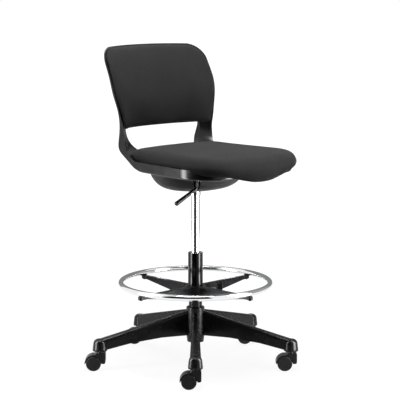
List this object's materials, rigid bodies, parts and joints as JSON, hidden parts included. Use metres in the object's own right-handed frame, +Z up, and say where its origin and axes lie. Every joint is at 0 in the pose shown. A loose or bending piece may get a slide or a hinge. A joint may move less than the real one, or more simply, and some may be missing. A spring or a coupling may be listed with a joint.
{
  "type": "drafting chair",
  "caption": "Height-adjustable swivel drafting chair with a moulded shell for seat and back, thin cushions, a lift lever, a chrome foot ring and a star base on hooded casters.",
  "frame": {"origin": "point on the floor under the column's axis", "axes": "+Z is up along the column, -Y is the way the sitter faces, -X is the sitter's right hand"},
  "size_m": [0.7097, 0.7146, 1.067],
  "materials": {
    "base_plastic": "satin black glass-filled nylon",
    "caster_plastic": "satin black nylon",
    "wheel_plastic": "satin black nylon",
    "column_enamel": "gloss black",
    "chrome": "polished",
    "steel": "plain bright steel",
    "black_steel": "black finish",
    "cage_brass": "plain",
    "bush_plastic": "plain natural plastic",
    "bumper_rubber": "matte",
    "spider_plastic": "satin black nylon",
    "knob_plastic": "satin black",
    "lever_plastic": "satin black",
    "cover_plastic": "matte dark grey",
    "shell_plastic": "satin dark grey",
    "plywood": "plain plywood",
    "back_panel": "plain black panel",
    "seat_fabric": "fine woven black cloth",
    "back_fabric": "fine woven black cloth"
  },
  "bodies": {
    "base": {"star_base": "base_plastic", "column_tube": "column_enamel", "guide_bush": "bush_plastic", "lower_race": "steel"},
    "rod": {"piston_rod": "steel", "ball_cage": "cage_brass", "upper_race": "steel", "bumper": "bumper_rubber", "rod_clip": "steel"},
    "seat": {"gas_cylinder": "chrome", "taper_socket": "chrome", "mechanism_plate": "black_steel", "mechanism_channel": "black_steel", "lever_pin": "steel", "seat_bolts": "black_steel", "tee_nuts": "steel", "underseat_cover": "cover_plastic", "cover_screws": "black_steel", "seat_back_shell": "shell_plastic", "seat_board": "plywood", "seat_cushion": "seat_fabric", "back_board": "back_panel", "back_cushion": "back_fabric"},
    "lever": {"lever_rod": "black_steel", "lever_handle": "lever_plastic"},
    "release_button": {"release_pin": "steel"},
    "ring": {"foot_ring": "chrome", "ring_spider": "spider_plastic", "ring_screws": "black_steel"},
    "shoe": {"clamp_shoe": "bush_plastic"},
    "knob": {"clamp_stud": "steel", "clamp_knob": "knob_plastic"},
    "caster_1": {"caster_1_housing": "caster_plastic", "caster_1_stem": "steel", "caster_1_axle": "steel"},
    "caster_1_left": {"caster_1_wheel_left": "wheel_plastic"},
    "caster_1_right": {"caster_1_wheel_right": "wheel_plastic"},
    "caster_2": {"caster_2_housing": "caster_plastic", "caster_2_stem": "steel", "caster_2_axle": "steel"},
    "caster_2_left": {"caster_2_wheel_left": "wheel_plastic"},
    "caster_2_right": {"caster_2_wheel_right": "wheel_plastic"},
    "caster_3": {"caster_3_housing": "caster_plastic", "caster_3_stem": "steel", "caster_3_axle": "steel"},
    "caster_3_left": {"caster_3_wheel_left": "wheel_plastic"},
    "caster_3_right": {"caster_3_wheel_right": "wheel_plastic"},
    "caster_4": {"caster_4_housing": "caster_plastic", "caster_4_stem": "steel", "caster_4_axle": "steel"},
    "caster_4_left": {"caster_4_wheel_left": "wheel_plastic"},
    "caster_4_right": {"caster_4_wheel_right": "wheel_plastic"},
    "caster_5": {"caster_5_housing": "caster_plastic", "caster_5_stem": "steel", "caster_5_axle": "steel"},
    "caster_5_left": {"caster_5_wheel_left": "wheel_plastic"},
    "caster_5_right": {"caster_5_wheel_right": "wheel_plastic"}
  },
  "joints": [
    {"name": "seat_swivel", "type": "hinge", "parent": "base", "child": "rod", "pos_m": [0, 0, 0.083], "axis": [0, 0, 1], "continuous": true},
    {"name": "seat_lift", "type": "slide", "parent": "rod", "child": "seat", "axis": [0, 0, 1], "range_m": [-0.19, 0]},
    {"name": "height_lever", "type": "hinge", "parent": "seat", "child": "lever", "pos_m": [-0.02296, -0.02642, 0.645], "axis": [-0.7547, 0.6561, 0], "range_deg": [0, 5], "stiffness_Nm_per_rad": 4, "springref_deg": -2.86},
    {"name": "release_press", "type": "slide", "parent": "seat", "child": "release_button", "axis": [0, 0, -1], "range_m": [0, 0.0032]},
    {"name": "ring_lift", "type": "slide", "parent": "base", "child": "ring", "axis": [0, 0, 1], "range_m": [0, 0.105]},
    {"name": "shoe_press", "type": "slide", "parent": "ring", "child": "shoe", "axis": [0.7314, -0.682, 0], "range_m": [0, 0.003]},
    {"name": "knob_turn", "type": "hinge", "parent": "shoe", "child": "knob", "pos_m": [0.05851, -0.05456, 0.254], "axis": [0.7314, -0.682, 0], "range_deg": [0, 720]},
    {"name": "caster_1_swivel", "type": "hinge", "parent": "base", "child": "caster_1", "pos_m": [-0.22779, -0.24427, 0.066], "axis": [0, 0, 1], "continuous": true},
    {"name": "caster_1_left_roll", "type": "hinge", "parent": "caster_1", "child": "caster_1_left", "pos_m": [-0.24315, -0.22995, 0.025], "axis": [-0.682, -0.7314, 0], "continuous": true},
    {"name": "caster_1_right_roll", "type": "hinge", "parent": "caster_1", "child": "caster_1_right", "pos_m": [-0.24315, -0.22995, 0.025], "axis": [-0.682, -0.7314, 0], "continuous": true},
    {"name": "caster_2_swivel", "type": "hinge", "parent": "base", "child": "caster_2", "pos_m": [0.16193, -0.29212, 0.066], "axis": [0, 0, 1], "continuous": true},
    {"name": "caster_2_left_roll", "type": "hinge", "parent": "caster_2", "child": "caster_2_left", "pos_m": [0.14657, -0.2778, 0.025], "axis": [-0.682, -0.7314, 0], "continuous": true},
    {"name": "caster_2_right_roll", "type": "hinge", "parent": "caster_2", "child": "caster_2_right", "pos_m": [0.14657, -0.2778, 0.025], "axis": [-0.682, -0.7314, 0], "continuous": true},
    {"name": "caster_3_swivel", "type": "hinge", "parent": "base", "child": "caster_3", "pos_m": [0.32786, 0.06373, 0.066], "axis": [0, 0, 1], "continuous": true},
    {"name": "caster_3_left_roll", "type": "hinge", "parent": "caster_3", "child": "caster_3_left", "pos_m": [0.3125, 0.07805, 0.025], "axis": [-0.682, -0.7314, 0], "continuous": true},
    {"name": "caster_3_right_roll", "type": "hinge", "parent": "caster_3", "child": "caster_3_right", "pos_m": [0.3125, 0.07805, 0.025], "axis": [-0.682, -0.7314, 0], "continuous": true},
    {"name": "caster_4_swivel", "type": "hinge", "parent": "base", "child": "caster_4", "pos_m": [0.0407, 0.33151, 0.066], "axis": [0, 0, 1], "continuous": true},
    {"name": "caster_4_left_roll", "type": "hinge", "parent": "caster_4", "child": "caster_4_left", "pos_m": [0.02535, 0.34583, 0.025], "axis": [-0.682, -0.7314, 0], "continuous": true},
    {"name": "caster_4_right_roll", "type": "hinge", "parent": "caster_4", "child": "caster_4_right", "pos_m": [0.02535, 0.34583, 0.025], "axis": [-0.682, -0.7314, 0], "continuous": true},
    {"name": "caster_5_swivel", "type": "hinge", "parent": "base", "child": "caster_5", "pos_m": [-0.30271, 0.14115, 0.066], "axis": [0, 0, 1], "continuous": true},
    {"name": "caster_5_left_roll", "type": "hinge", "parent": "caster_5", "child": "caster_5_left", "pos_m": [-0.31806, 0.15548, 0.025], "axis": [-0.682, -0.7314, 0], "continuous": true},
    {"name": "caster_5_right_roll", "type": "hinge", "parent": "caster_5", "child": "caster_5_right", "pos_m": [-0.31806, 0.15548, 0.025], "axis": [-0.682, -0.7314, 0], "continuous": true}
  ],
  "couplings": [
    {"joint": "release_press", "follows": "height_lever", "m_per_rad": 0.036},
    {"joint": "knob_turn", "follows": "shoe_press", "rad_per_m": 4188.8}
  ]
}
